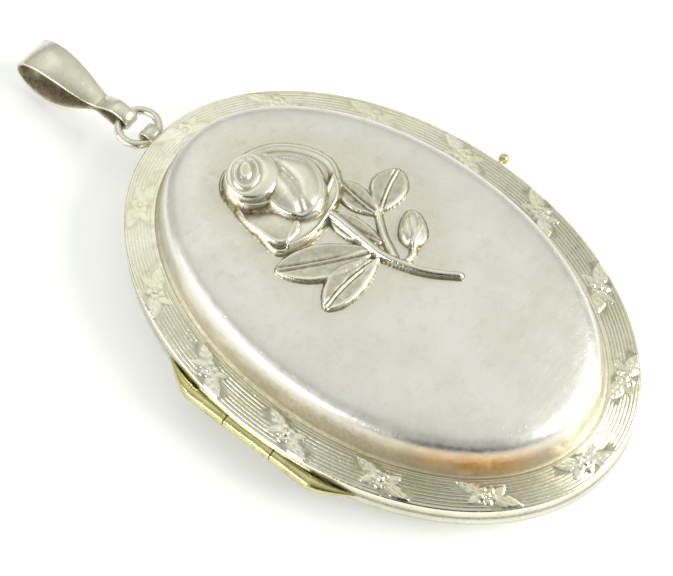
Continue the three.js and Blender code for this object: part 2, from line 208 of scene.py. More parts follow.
class Nodes:
    """Short calls for building a procedural material."""

    def __init__(self, name):
        self.material = bpy.data.materials.new(name)
        self.material.use_nodes = True
        self.tree = self.material.node_tree
        self.shader = self.tree.nodes["Principled BSDF"]
        self.place = self.add("ShaderNodeTexCoord").outputs["Object"]

    def add(self, kind, **settings):
        node = self.tree.nodes.new(kind)
        for key, value in settings.items():
            setattr(node, key, value)
        return node

    def link(self, source, target):
        self.tree.links.new(source, target)

    def feed(self, socket, value):
        """Gives a socket a colour, a number or another node's output."""
        if isinstance(value, tuple):
            socket.default_value = (*value, 1.0)
        elif isinstance(value, (int, float)):
            socket.default_value = value
        else:
            self.link(value, socket)

    def noise(self, per_metre, detail=6.0, rough=0.6, stretch=(1, 1, 1)):
        mapping = self.add("ShaderNodeMapping")
        mapping.inputs["Scale"].default_value = stretch
        self.link(self.place, mapping.inputs["Vector"])
        node = self.add("ShaderNodeTexNoise")
        node.inputs["Scale"].default_value = per_metre
        node.inputs["Detail"].default_value = detail
        node.inputs["Roughness"].default_value = rough
        self.link(mapping.outputs["Vector"], node.inputs["Vector"])
        return node.outputs["Fac"]

    def attribute(self, name):
        return self.add("ShaderNodeAttribute", attribute_name=name).outputs["Fac"]

    def ramp(self, value, low, high, start=0.0, end=1.0):
        node = self.add("ShaderNodeMapRange")
        node.inputs["From Min"].default_value = low
        node.inputs["From Max"].default_value = high
        node.inputs["To Min"].default_value = start
        node.inputs["To Max"].default_value = end
        self.link(value, node.inputs["Value"])
        return node.outputs["Result"]

    def times(self, first, second, operation="MULTIPLY"):
        node = self.add("ShaderNodeMath", operation=operation)
        node.use_clamp = True
        self.feed(node.inputs[0], first)
        self.feed(node.inputs[1], second)
        return node.outputs[0]

    def mix(self, factor, first, second):
        node = self.add("ShaderNodeMix", data_type="RGBA")
        self.feed(node.inputs["Factor"], factor)
        self.feed(node.inputs[MIX_COLOUR_A], first)
        self.feed(node.inputs[MIX_COLOUR_B], second)
        return node.outputs[MIX_COLOUR_RESULT]

    def bump(self, height, distance, strength=1.0, below=None):
        node = self.add("ShaderNodeBump")
        node.inputs["Strength"].default_value = strength
        node.inputs["Distance"].default_value = distance
        self.link(height, node.inputs["Height"])
        if below is not None:
            self.link(below, node.inputs["Normal"])
        return node.outputs["Normal"]

    def set(self, name, value):
        self.feed(self.shader.inputs[name], value)


# colour of the painted warm reflection on the dome's wall
REFLECTED_COPPER = (0.78, 0.45, 0.18)
ROUGHEST_STAIN = 0.3         # roughness that a full mask of tarnish and painted shade adds
SCRATCH_DEPTH = 0.000005     # metres
PIT_DEPTH = 0.00002


def metal(name, light, dark, tarnish, roughness, blotches):
    """Worn metal: cloudy colour, tarnish with painted shade, fine scratches and small pits.

    Two attributes of a mesh steer it. One is how much tarnish and painted shade a point holds,
    both drawn in the tarnish colour; the other is how much of a painted copper-coloured reflection
    lies on it. A mesh without them gets only the cloud and the blotches.
    """
    n = Nodes(name)
    cloud = n.ramp(n.noise(260.0, 5.0), 0.35, 0.7)
    base = n.mix(cloud, light, dark)
    warm = n.ramp(n.noise(90.0, 7.0, 0.65), 0.48, 0.72, 0.0, 0.16)
    base = n.mix(warm, base, tarnish)
    blotch = n.ramp(n.noise(900.0, 8.0, 0.7), 0.52, 0.75, 0.0, blotches)
    broken = n.ramp(n.noise(2500.0, 4.0), 0.3, 0.65, 0.6, 1.0)
    # tarnish and painted shade from the mesh, with random blotches of tarnish
    stain_and_shade = n.times(n.times(n.attribute("tarnish_and_shade"), broken), blotch, "ADD")
    # painted copper-coloured reflection where the mesh holds one
    copper_reflected = n.mix(n.times(n.attribute("copper_reflection"), broken), base, REFLECTED_COPPER)
    n.set("Base Color", n.mix(stain_and_shade, copper_reflected, tarnish))
    n.set("Metallic", 1.0)
    spread = n.ramp(n.noise(700.0, 9.0, 0.75), 0.3, 0.7, roughness - 0.07, roughness + 0.09)
    n.set("Roughness", n.times(spread, n.times(stain_and_shade, ROUGHEST_STAIN), "ADD"))
    scratches = n.noise(1500.0, 3.0, 0.5, (0.12, 1.6, 1.0))
    scratched = n.bump(n.ramp(scratches, 0.45, 0.6), SCRATCH_DEPTH, 0.8)
    pits = n.ramp(n.noise(3200.0, 2.0), 0.62, 0.72, 1.0, 0.0)
    n.set("Normal", n.bump(pits, PIT_DEPTH, 0.4, scratched))
    return n.material


# Each tarnish colour also paints the shade, shadows and dark reflections that a mesh's mask holds.
SILVER = metal("satin_silver", light=(0.80, 0.795, 0.745), dark=(0.73, 0.72, 0.655),
               tarnish=(0.52, 0.45, 0.27), roughness=0.36, blotches=0.30)
ROSE_SILVER = metal("rose_silver", light=(0.89, 0.87, 0.76), dark=(0.80, 0.77, 0.64),
                    tarnish=(0.17, 0.14, 0.045), roughness=0.24, blotches=0.16)
BORDER_SILVER = metal("border_silver", light=(0.88, 0.865, 0.73), dark=(0.79, 0.76, 0.58),
                      tarnish=(0.14, 0.125, 0.045), roughness=0.21, blotches=0.22)
BRASS = metal("worn_brass", light=(0.72, 0.68, 0.34), dark=(0.50, 0.47, 0.20),
              tarnish=(0.13, 0.12, 0.035), roughness=0.22, blotches=0.60)
GILT = metal("gilt_brass", light=(0.80, 0.68, 0.40), dark=(0.70, 0.58, 0.32),
             tarnish=(0.30, 0.22, 0.10), roughness=0.22, blotches=0.25)
BAIL_SILVER = metal("bail_silver", light=(0.78, 0.76, 0.65), dark=(0.68, 0.66, 0.53),
                    tarnish=(0.17, 0.13, 0.05), roughness=0.28, blotches=0.16)


def paper():
    """Old card with a few brown spots."""
    n = Nodes("photo_card")
    fibres = n.noise(4000.0, 6.0)
    foxing = n.ramp(n.noise(220.0, 8.0, 0.7), 0.55, 0.72)
    n.set("Base Color", n.mix(foxing, (0.88, 0.82, 0.68), (0.72, 0.60, 0.42)))
    n.set("Roughness", 0.85)
    n.set("Normal", n.bump(fibres, 0.00001, 0.5))
    return n.material


def celluloid():
    """Clear sheet, slightly yellowed and hazy."""
    n = Nodes("celluloid")
    n.set("Base Color", n.mix(n.noise(120.0), (0.97, 0.95, 0.88), (0.95, 0.91, 0.80)))
    n.set("Transmission Weight", 1.0)
    n.set("IOR", 1.49)
    haze = n.ramp(n.noise(500.0, 6.0, 0.6, (0.3, 1.5, 1.0)), 0.4, 0.7, 0.02, 0.12)
    n.set("Roughness", haze)
    return n.material


PAPER = paper()
CELLULOID = celluloid()


# ---- covers: shared shapes -----------------------------------------------------------------
# [inset, height above the seam]: the wall rises steeply, the crown is nearly flat
WALL = [(2.7, 1.62), (3.0, 1.8), (3.18, 2.4), (3.36, 3.5), (3.68, 4.35), (4.2, 4.88), (5.2, 5.25)]
CROWN = [(8.0, 5.65), (12.0, DOME - 0.1), (CENTRE, DOME)]
CROWN_FROM = SEAM_Z + 4.5    # height where the wall turns into the crown
DOME_LINE = smooth_profile(WALL + CROWN, 0.12)


def dome_height(x, y):
    """Height of the plain dome above the seam over points of the plan."""
    low = np.zeros_like(x)
    high = np.full_like(x, HALF_WIDTH)
    for _ in range(26):
        middle = (low + high) / 2
        a, b = semi_axes(middle)
        outside = (x / a) ** 2 + (y / b) ** 2 > 1
        high = np.where(outside, middle, high)
        low = np.where(outside, low, middle)
    return np.interp(low, DOME_LINE[:, 0], DOME_LINE[:, 1])


def smoothstep(value, low, high):
    """0 at low, 1 at high and smooth between them; high may be the smaller."""
    t = np.clip((value - low) / (high - low), 0, 1)
    return t * t * (3 - 2 * t)


def bell(value, centre, width):
    """1 at the centre, falling off smoothly to both sides."""
    return np.exp(-((value - centre) / width) ** 2)


def swell(depth, reach):
    """A rounded rise from an outline inwards, 0 at the outline and 1 at reach inside it."""
    t = np.clip(depth, 0, reach) / reach
    return np.sqrt(1 - (1 - t) ** 2)


def notch(points):
    """Lifts cover points out of the round notch that clears the hinge's knuckles."""
    x, y, z = points[..., 0], points[..., 1], points[..., 2]
    dx, dz = x - AXIS_X, z - SEAM_Z
    distance = np.hypot(dx, dz)
    inside = (np.abs(y) < HINGE_HALF + 0.1) & (distance < NOTCH_R)
    side = np.where(dz.mean() >= 0, 1.0, -1.0)
    reach = np.sqrt(np.maximum(NOTCH_R ** 2 - dx ** 2, 0))
    points[..., 2] = np.where(inside, SEAM_Z + side * reach, z)
    return points


# ---- the border's pattern ------------------------------------------------------------------
RIDGES = 9
RIDGE_DEPTH = 0.10
MOTIFS = 14
MOTIF_SLANT = math.radians(28)
MOTIF_START = 0.70       # how far before the oval's start a motif sits, in pitches
BORDER_ROWS = 44
BORDER_RISE = 0.32       # the border climbs this much towards the dome
MOTIF_FROM = 0.06        # a motif lower than this is hidden by the ridges


def petal_field(u, v, radius, petals, height):
    """A small rounded flower."""
    r = np.hypot(u, v)
    turn = np.arctan2(v, u)
    petal_line = np.abs(np.cos(petals * turn / 2))
    edge = radius * (0.72 + 0.28 * petal_line)
    lobe = height * np.sqrt(np.clip(1 - (r / edge) ** 4, 0, 1)) * (0.75 + 0.25 * petal_line)
    eye = 0.3 * height * np.clip(1 - (r / (0.28 * radius)) ** 2, 0, 1)
    dip = 0.35 * height * np.clip(1 - np.abs(r / (0.36 * radius) - 1) * 3, 0, 1)
    return lobe + eye - dip


def leaf_field(u, v, length, width, height, veins=0):
    """A pointed leaf from the origin along +u, with a sunk midrib and side veins."""
    t = np.clip(u / length, 0, 1)
    half = width / 2 * np.sin(np.pi * t ** 0.75) ** 0.8 + 1e-6
    across = np.abs(v) / half
    on = (u > 0) & (u < length) & (across < 1)
    body = height * (1.0 - 0.5 * across)
    edge = smoothstep(1 - across, 0, 0.16)
    rib = 0.3 * height * bell(v, 0, 0.05 * width)
    groove = 0.12 * height * np.abs(np.sin(np.pi * (veins * t - 0.9 * across))) if veins else 0
    return np.where(on, (body - rib - groove) * edge, 0)


def turn_plan(u, v, u0, v0, angle):
    """Coordinates along and across a direction that starts at (u0, v0)."""
    c, s = math.cos(angle), math.sin(angle)
    return (u - u0) * c + (v - v0) * s, (v - v0) * c - (u - u0) * s


def border_relief(arc, inset, pitch):
    """Height of the pattern over the border, and how much tarnish it holds."""
    v = inset - BORDER / 2
    u = (arc + pitch / 2) % pitch - pitch / 2
    c, s = math.cos(MOTIF_SLANT), math.sin(MOTIF_SLANT)
    along, across = u * c - v * s, u * s + v * c
    flower = petal_field(along, across, radius=0.9, petals=5, height=0.24)
    tips = np.maximum(leaf_field(along - 0.4, across, 2.4, 1.3, 0.22, 4),
                      leaf_field(-along - 0.4, -across, 2.4, 1.3, 0.22, 4))
    side = np.maximum(leaf_field(*turn_plan(along, across, 0.5, 0.35, 1.0), 1.2, 0.8, 0.17),
                      leaf_field(*turn_plan(-along, -across, 0.5, 0.35, 1.0), 1.2, 0.8, 0.17))
    motif = np.maximum(np.maximum(flower, tips), side)
    ribbon = smoothstep(0.95 - np.abs(across + 0.15 * np.sin(1.6 * along)), 0, 0.2)
    ribbon = ribbon * smoothstep(2.9 - np.abs(along), 0, 0.5)
    wave = 0.5 - 0.5 * np.cos(2 * np.pi * RIDGES * inset / (BORDER - 0.1))
    ridge = RIDGE_DEPTH * wave * (1 - ribbon) + 0.05 * ribbon
    field = smoothstep(inset, 0.12, 0.3) * smoothstep(BORDER - inset, 0.05, 0.3)
    stands = motif > MOTIF_FROM
    relief = np.where(stands, np.maximum(motif, ridge), ridge) * field
    between = 0.55 * (1 - wave) * (1 - ribbon) + 0.7 * ribbon
    hollow = np.where(stands, 0.7 * np.clip(1 - motif / 0.19, 0, 1), between)
    shade = np.clip(hollow * (1 - 0.5 * smoothstep(motif, 0.0, 0.12)), 0, 1) * field
    return relief, shade


def arc_length(inset):
    """Distance round the oval at an inset for each step of the rim, and the whole way round."""
    line = oval_points(np.array([[inset, 0.0]]), RIM_STEPS)[0]
    arc = np.concatenate([[0], np.cumsum(np.linalg.norm(np.diff(line, axis=0), axis=1))])
    return arc, arc[-1] + np.linalg.norm(line[0] - line[-1])


def front_rim():
    """Edge band and patterned border of the front cover, with its underside."""
    border = [(inset, SEAM_Z + BAND + BORDER_RISE * inset / BORDER)
              for inset in np.linspace(0.12, BORDER, BORDER_ROWS)]
    outer = [(0.0, SEAM_Z), (0.0, SEAM_Z + 0.4), (0.0, SEAM_Z + BAND - 0.15),
             (0.03, SEAM_Z + BAND - 0.05)]
    under = [(BORDER + 0.1, SEAM_Z + 1.2), (BORDER + 0.6, SEAM_Z + FRONT_LEDGE),
             (SHEET, SEAM_Z + FRONT_LEDGE), (SHEET, SEAM_Z + 0.5), (SHEET, SEAM_Z + 0.05),
             (SHEET - 0.05, SEAM_Z)]
    profile = np.array(outer + border + under)
    points = oval_points(profile, RIM_STEPS)
    arc, total = arc_length(BORDER / 2)
    pitch = total / MOTIFS
    rows = slice(len(outer), len(outer) + len(border))
    arc_from_motif = arc[None, :] + MOTIF_START * pitch
    relief, shade = border_relief(arc_from_motif, profile[rows, 0][:, None], pitch)
    towards_foot = smoothstep(-points[rows, :, 1] - 0.3 * points[rows, :, 0], -16.0, 2.0)
    crisp = 0.30 + 0.70 * towards_foot
    points[rows, :, 2] += relief * crisp
    tarnish_and_shade = np.zeros(points.shape[:2])
    tarnish_and_shade[0] = 0.8
    tarnish_and_shade[1] = 0.3
    tarnish_and_shade[rows] = shade * crisp
    points = notch(points)
    faces = grid_faces(len(profile), RIM_STEPS, True, True)
    rim = add_object("front_rim", points.reshape(-1, 3), faces, BORDER_SILVER,
                     {"tarnish_and_shade": tarnish_and_shade.ravel()})
    return own(rim, "lid", "silver_plate", "front_cover")


# [x, y] plans of the warm stain round the spray and of the rose itself
HALO_OUTLINE = [(-3.2, 15.2), (3.8, 14.6), (8.4, 5.2), (5.6, -1.8), (2.6, -4.6), (-2.6, -1.4),
                (-6.2, 0.6), (-6.0, 6.4), (-5.0, 9.4)]
ROSE_OUTLINE = [(-1.9, 14.7), (0.9, 15.3), (3.5, 14.0), (5.1, 11.4), (5.2, 8.8), (3.3, 6.5),
                (0.6, 5.5), (-1.6, 5.3), (-4.5, 6.6), (-4.4, 9.0), (-3.6, 12.0)]


def dome_tarnish_and_reflections(profile, points):
    """Tarnish at the dome's foot and round the spray, a painted dark reflection on its wall towards
    the hinge, and a painted copper-coloured reflection on that wall at the foot end.
    """
    x, y, z = points[..., 0], points[..., 1], points[..., 2]
    inset = profile[:, 0]
    foot = bell(inset, 2.85, 0.22) * (profile[:, 1] < SEAM_Z + 2.2)
    wall = bell(inset, 3.25, 0.35) * (profile[:, 1] < SEAM_Z + 4.4)
    hinge_side = smoothstep(-0.9 * x / HALF_WIDTH - 0.45 * y / HALF_LENGTH, 0.25, 0.8)
    gap = signed_inside(x, y, closed_curve(HALO_OUTLINE))
    halo = np.where(z > CROWN_FROM, 0.26 * smoothstep(gap, -2.0, 0.6), 0)
    # the wall's part, on the hinge side, is a painted dark reflection; the foot and the halo are
    # tarnish
    tarnish = 0.75 * foot[:, None] + 0.75 * wall[:, None] * hinge_side + halo
    # painted copper-coloured reflection on the wall at the foot end, towards the hinge; it clears
    # the tarnish under it
    copper_reflection = bell(inset, 3.3, 0.4)[:, None] * smoothstep(-y, 8.0, 12.0)
    copper_reflection = 1.15 * copper_reflection * bell(x, -7.6, 3.6)
    copper_reflection = copper_reflection * (z < CROWN_FROM)
    return tarnish * (1 - 0.75 * copper_reflection), copper_reflection


def front_dome():
    """Plain dome of the front cover and its underside."""
    inner = smooth_profile([(CENTRE, DOME - SHEET), (12.0, DOME - 0.1 - SHEET),
                            (8.0, 5.65 - SHEET), (5.4, 4.8), (4.6, 4.5), (4.15, 4.1),
                            (3.85, 3.4), (3.65, 2.4), (3.4, 1.1)], 0.4)
    profile = np.vstack([DOME_LINE, inner])
    profile[:, 1] += SEAM_Z
    points = oval_points(profile, COVER_STEPS)
    # tarnish with a painted dark reflection, and a painted copper-coloured reflection
    tarnish, copper_reflection = dome_tarnish_and_reflections(profile, points)
    faces = grid_faces(len(profile), COVER_STEPS, True, True)
    dome = add_object("front_dome", points.reshape(-1, 3), faces, SILVER,
                      {"tarnish_and_shade": tarnish.ravel(), "copper_reflection": copper_reflection.ravel()})
    return own(dome, "lid", "silver_plate", "front_cover")


# ---- the rose ------------------------------------------------------------------------------
ROSE_GRID = 0.085
OUTLINE_STEPS = 14       # points between two given points of a closed outline
ROSE_SINK = 0.2          # how far the relief's edge runs under the dome's surface
MARGIN_LIFT = 0.012      # line of tarnish and painted shadow round the relief, just above the dome
RELIEF_FROM = 0.03       # lower than this is bare dome
HEART_TURN = math.radians(38)
SIDE_BUD_TURN = 0.7      # radians


def closed_curve(points):
    """A smooth closed outline through the points."""
    points = np.asarray(points, float)
    size = len(points)
    out = []
    for i in range(size):
        out += spline_span(*(points[(i + k) % size] for k in (-1, 0, 1, 2)), OUTLINE_STEPS)
    return np.array(out)


def distance_to_line(x, y, line, closed=False):
    """Distance to a polyline, and how far along it the nearest point is (0 to 1)."""
    ends = np.roll(line, -1, axis=0) if closed else line[1:]
    starts = line if closed else line[:-1]
    best = np.full(x.shape, 1e9)
    where = np.zeros(x.shape)
    for i, (p, q) in enumerate(zip(starts, ends)):
        d = q - p
        t = np.clip(((x - p[0]) * d[0] + (y - p[1]) * d[1]) / max(d @ d, 1e-9), 0, 1)
        gap = np.hypot(x - p[0] - t * d[0], y - p[1] - t * d[1])
        nearer = gap < best
        best = np.where(nearer, gap, best)
        where = np.where(nearer, (i + t) / len(starts), where)
    return best, where


def signed_inside(x, y, outline):
    """Distance to a closed outline, positive inside it."""
    gap, _ = distance_to_line(x, y, outline, closed=True)
    inside = np.zeros(x.shape, bool)
    for p, q in zip(outline, np.roll(outline, -1, axis=0)):
        crosses = (p[1] > y) != (q[1] > y)
        reach = (q[0] - p[0]) * (y - p[1]) / (q[1] - p[1] + 1e-12) + p[0]
        inside ^= crosses & (x < reach)
    return np.where(inside, gap, -gap)


def petal(x, y, outline, height, lip, lip_width, wall):
    """A petal plate with a rolled lip, and the distance in from its edge."""
    depth = signed_inside(x, y, closed_curve(outline))
    body = height * smoothstep(depth, -0.05, wall)
    return body + lip * bell(depth, lip_width, 0.55 * lip_width), depth


def rose_leaf(x, y, base, tip, width, height, curl, veins=5):
    """A leaf of the spray between two plan points."""
    base, tip = np.asarray(base, float), np.asarray(tip, float)
    length = np.linalg.norm(tip - base)
    along = (tip - base) / length
    u = (x - base[0]) * along[0] + (y - base[1]) * along[1]
    t = np.clip(u / length, 0, 1)
    v = (y - base[1]) * along[0] - (x - base[0]) * along[1] - curl * np.sin(np.pi * t)
    half = width / 2 * np.sin(np.pi * t ** 1.2) ** 0.62 + 1e-6
    across = np.abs(v) / half
    on = (u > 0) & (u < length)
    cup = height * (0.58 + 0.42 * across ** 2.5)
    beside_rib = bell(np.abs(v), 0.16, 0.06)
    rib = 0.28 * height * (bell(v, 0, 0.07) - 1.2 * beside_rib)
    wave = np.sin(2 * np.pi * (veins * t - 0.8 * across))
    vein = 0.02 * height * wave * smoothstep(across, 0.12, 0.3)
    return np.where(on, (cup + rib + vein) * smoothstep(1 - across, 0, 0.14), 0)


def stalk(x, y, points, r0, r1, lift=1.0):
    """A round stalk along plan points, tapering from r0 to r1."""
    line = smooth_profile(points, 0.3)
    gap, where = distance_to_line(x, y, line)
    radius = r0 + (r1 - r0) * where
    return lift * 1.3 * radius * np.sqrt(np.clip(1 - (gap / radius) ** 2, 0, 1))


def rose_heart(x, y, height):
    """Oval cups nested one in another, each with a rounded lip."""
    total = np.zeros(x.shape)
    for cx, cy, radius, narrow, rise, lip in HEART_CUPS:
        u, v = turn_plan(x, y, cx, cy, HEART_TURN)
        gap = radius * narrow * (1 - np.hypot(u / radius, v / (radius * narrow)))
        total = total + rise * swell(gap, 1.1 if rise > 0.3 else 0.3)
        groove = 0.8 * bell(gap, -0.06, 0.10)
        total = total + lip * (bell(gap, 0.22, 0.15) - groove)
    return (height + total) * smoothstep(total, -0.2, 0.3)


def bud_body(x, y, centre, half_length, half_width, height):
    """A closed side bud: an egg with two seams, pointing away from its stalk."""
    u, v = turn_plan(x, y, centre[0], centre[1], SIDE_BUD_TURN)
    r = np.hypot(u / half_length, v / (half_width * (1 - 0.25 * u / half_length)))
    seams = bell(v - 0.3, 0.15 * u, 0.09) + bell(v + 0.35, -0.1 * u, 0.09)
    return height * np.sqrt(np.clip(1 - r ** 2, 0, 1)) * (1 - 0.14 * seams)


LEFT_PETAL = [(-2.9, 14.0), (-1.2, 11.2), (-0.7, 8.6), (-1.9, 6.6), (-4.0, 7.0), (-4.3, 9.6),
              (-3.8, 12.0)]
LOWER_PETAL = [(-1.6, 7.6), (0.4, 7.0), (3.2, 7.9), (4.3, 8.2), (3.0, 6.4), (0.5, 5.6),
               (-1.7, 5.5), (-3.9, 6.5)]
COLLAR_PETAL = [(-3.2, 13.6), (-1.6, 15.0), (0.6, 14.9), (2.0, 13.4), (2.1, 11.4), (0.7, 10.0),
                (-1.6, 9.9), (-3.2, 11.3)]
BULB_OUTLINE = [(0.9, 13.6), (3.0, 12.4), (3.9, 9.9), (2.7, 7.4), (0.3, 6.1), (-1.7, 7.3),
                (-2.2, 9.6), (-1.2, 11.2)]
BULB_CREASE = np.array([(1.2, 12.0), (0.6, 9.4), (-0.7, 7.4)])
HEART_X, HEART_Y, HEART_R = -0.75, 12.7, 2.35
# centre x and y, radius, narrowing, rise and lip of each cup of the heart
HEART_CUPS = [(HEART_X, HEART_Y, HEART_R, 1.0, 0.8, 0.08), (-1.0, 13.1, 1.65, 0.72, -0.03, 0.12),
              (-0.85, 13.3, 1.0, 0.58, 0.04, 0.10)]


def rose_bulb(x, y):
    """The big swollen petal beside the heart, with a crease down it."""
    inside = signed_inside(x, y, closed_curve(BULB_OUTLINE))
    crease, _ = distance_to_line(x, y, BULB_CREASE)
    bulb = 1.9 * swell(inside, 2.3) + 0.16 * bell(inside, 0.5, 0.22)
    return bulb - 0.34 * bell(crease, 0, 0.42) * smoothstep(inside, 0.2, 0.8)


def outer_petals(x, y):
    """The rose's open outer petals, rubbed down at the upper right."""
    height, depth = petal(x, y, ROSE_OUTLINE, 0.30, 0.24, 0.26, 0.18)
    height = height + 0.45 * smoothstep(depth, 0.7, 2.2)
    ridge = 0.16 * bell(depth, 1.25, 0.22)
    groove = 0.14 * bell(depth, 0.85, 0.16)
    rubbed = smoothstep(x * 0.75 + (y - 9.5) * 0.65, 1.0, 5.2)
    return (height + ridge - groove) * (1 - 0.45 * rubbed)


def rose_flower(x, y):
    """Height of the flower head, the painted shadow in the hollow beside its heart and the painted
    shade on its left petal.
    """
    left, depth = petal(x, y, LEFT_PETAL, 0.42, 0.14, 0.22, 0.2)
    left = left + 0.6 * swell(depth, 2.2)
    lower, _ = petal(x, y, LOWER_PETAL, 0.66, 0.22, 0.22, 0.2)
    collar, _ = petal(x, y, COLLAR_PETAL, 1.15, 0.14, 0.2, 0.25)
    past_heart = np.hypot(x - HEART_X, y - HEART_Y) - HEART_R
    heart = np.where(past_heart < 0.3, rose_heart(x, y, 1.15), 0)
    hollow = 0.6 * bell(np.maximum(past_heart, 0), 0, 1.2)
    hollow = hollow * smoothstep(-x - 0.35 * y + 3.6, 0, 1.5)
    left = left - hollow * smoothstep(left, 0.1, 0.6)
    flower = np.maximum.reduce([outer_petals(x, y), left, lower, collar, rose_bulb(x, y), heart])
    # painted shadow in the hollow beside the heart
    shade = np.where(heart > 0.9 * flower, 0, 1.4 * hollow)
    # painted shade over the left petal where it shows
    left_shows = smoothstep(left - 0.97 * flower, -0.05, 0.05)
    return flower, shade, 0.35 * left_shows * smoothstep(left, 0.05, 0.2)


def rose_height(x, y):
    """Height of the whole spray over the dome, and its darkening: the leaves darker all over, and
    the flower's painted shadow and shade.
    """
    flower, flower_shade, petal_shade = rose_flower(x, y)
    leaves = np.maximum.reduce([
        rose_leaf(x, y, (0.6, 0.9), (-5.8, 6.0), 3.5, 0.48, 0.15),
        rose_leaf(x, y, (0.1, 0.2), (-6.0, 0.7), 3.1, 0.48, -0.3),
        rose_leaf(x, y, (1.5, 0.9), (0.9, 6.0), 2.3, 0.46, 0.1),
        rose_leaf(x, y, (3.8, 2.9), (8.1, 4.4), 3.2, 0.42, 0.15, 4),
        rose_leaf(x, y, (3.4, 2.9), (3.9, 7.3), 2.4, 0.38, 0.1, 4),
    ])
    main_stalk = [(0.9, 5.6), (0.7, 2.4), (0.6, 0.2), (1.2, -2.2), (2.0, -4.0), (3.2, -5.8)]
    stalks = [
        stalk(x, y, [(4.0, 3.4), (2.3, 1.4), (1.2, -0.6)], 0.26, 0.36),
        stalk(x, y, main_stalk, 0.50, 0.33, 1.25),
        stalk(x, y, [(0.7, 1.0), (-1.0, 2.2), (-2.2, 3.0)], 0.3, 0.12),
        stalk(x, y, [(0.4, 0.2), (-1.5, 0.25), (-2.6, 0.3)], 0.3, 0.12),
        stalk(x, y, [(1.2, -1.6), (2.3, -1.7), (3.4, -0.9)], 0.24, 0.3),
    ]
    side_bud = bud_body(x, y, (4.25, -0.15), 1.85, 1.15, 0.95)
    calyx = leaf_field(*turn_plan(x, y, 2.7, -1.3, 0.35), 2.6, 1.1, 1.1)
    rest = np.maximum.reduce([flower, *stalks, side_bud, calyx])
    # the leaves darker all over, with the flower's painted shadow and shade
    shade = 0.5 * smoothstep(leaves - rest, 0.0, 0.1) + flower_shade + petal_shade
    return np.maximum(leaves, rest), shade


def blur(field, times):
    """A light box blur over the grid."""
    for _ in range(times):
        padded = np.pad(field, 1, mode="edge")
        field = (padded[1:-1, 1:-1] * 2 + padded[:-2, 1:-1] + padded[2:, 1:-1]
                 + padded[1:-1, :-2] + padded[1:-1, 2:]) / 6
    return field


def rose_tarnish_and_shade(x, y, relief, margin, shade):
    """Tarnish and painted shadow along the relief's foot and in its hollows, darkest on the
    lower-left sides where shadow falls, rubbed lighter at the upper right, plus the darkening it is
    given.
    """
    slope_y, slope_x = np.gradient(blur(margin, 4))
    steep = np.hypot(slope_x, slope_y) + 1e-6
    # painted shadow: the relief's lower-left sides, where shadow falls, take the most darkening
    shadow_side = smoothstep((0.77 * slope_x + 0.64 * slope_y) / steep, -0.7, 0.5)
    rubbed = 1 - 0.55 * smoothstep(x + 0.35 * y, 4.5, 9.0)
    line = 0.3 + 0.7 * shadow_side
    hollows = (blur(relief, 14) - relief) / 0.085
    # tarnish and painted shadow at the relief's foot
    foot = 0.85 * smoothstep(relief, 0.30, 0.02)
    tarnish = np.clip(hollows * line * rubbed + foot * line * rubbed + shade, 0, 1)
    return tarnish * (0.35 + 0.65 * smoothstep(margin, 0.2, 0.5))


def rose_relief():
    """The struck rose spray, standing on the dome."""
    xs = np.arange(-7.0, 9.2, ROSE_GRID)
    ys = np.arange(-6.9, 15.9, ROSE_GRID)
    x, y = np.meshgrid(xs, ys)
    relief, shade = rose_height(x, y)
    relief = blur(relief, 1)
    stands = relief > RELIEF_FROM
    margin = blur(stands.astype(float), 6)
    sunk = MARGIN_LIFT - (MARGIN_LIFT + ROSE_SINK) * smoothstep(margin, 0.26, 0.12)
    z = SEAM_Z + dome_height(x, y) + np.where(stands, relief, sunk)
    keep = margin > 0.08
    index = np.full(x.shape, -1)
    index[keep] = np.arange(keep.sum())
    corners = np.stack([index[:-1, :-1], index[:-1, 1:], index[1:, 1:], index[1:, :-1]], -1)
    corners = corners.reshape(-1, 4)
    faces = corners[(corners >= 0).all(axis=1)]
    points = np.stack([x, y, z], -1)[keep]
    # tarnish with painted shade and shadow
    tarnish = rose_tarnish_and_shade(x, y, relief, margin, shade)
    rose = add_object("rose_relief", points, faces.tolist(), ROSE_SILVER,
                      {"tarnish_and_shade": tarnish[keep]})
    return own(rose, "lid", "silver_plate", "front_cover")


# ---- back cover and inside -----------------------------------------------------------------
COLLAR_GAP = 11.0        # half of the collar's opening at the hinge


def back_cover():
    """The shallow back shell, dull along its lip and its shoulder."""
    outer = smooth_profile([(CENTRE, 0), (12, 0), (7.0, 0), (6.2, 0.03), (5.4, 0.3), (4.6, 1.0),
                            (3.6, 1.9), (2.7, 2.18), (1.4, 2.2), (0.3, 2.2), (0.05, 2.34),
                            (0.0, 2.6), (0.0, 3.2), (0.0, SEAM_Z)], 0.2)
    inner = [(SHEET, SEAM_Z), (SHEET, SEAM_Z - BACK_LEDGE), (BORDER, SEAM_Z - BACK_LEDGE),
             (4.4, 1.85), (5.3, 0.85), (6.4, 0.5), (CENTRE, 0.5)]
    profile = np.vstack([outer, inner])
    points = notch(oval_points(profile, COVER_STEPS))
    lip = bell(profile[:, 1], SEAM_Z, 0.25)
    shoulder = bell(profile[:, 1], 2.4, 0.18) * (profile[:, 0] < 0.4)
    tarnish = 0.6 * np.repeat(np.maximum(lip, 1.1 * shoulder), COVER_STEPS)
    faces = grid_faces(len(profile), COVER_STEPS, False, True)
    cover = add_object("back_shell", points.reshape(-1, 3), faces, BAIL_SILVER,
                       {"tarnish_and_shade": tarnish})
    return own(cover, "back", "silver_plate", "back_cover")


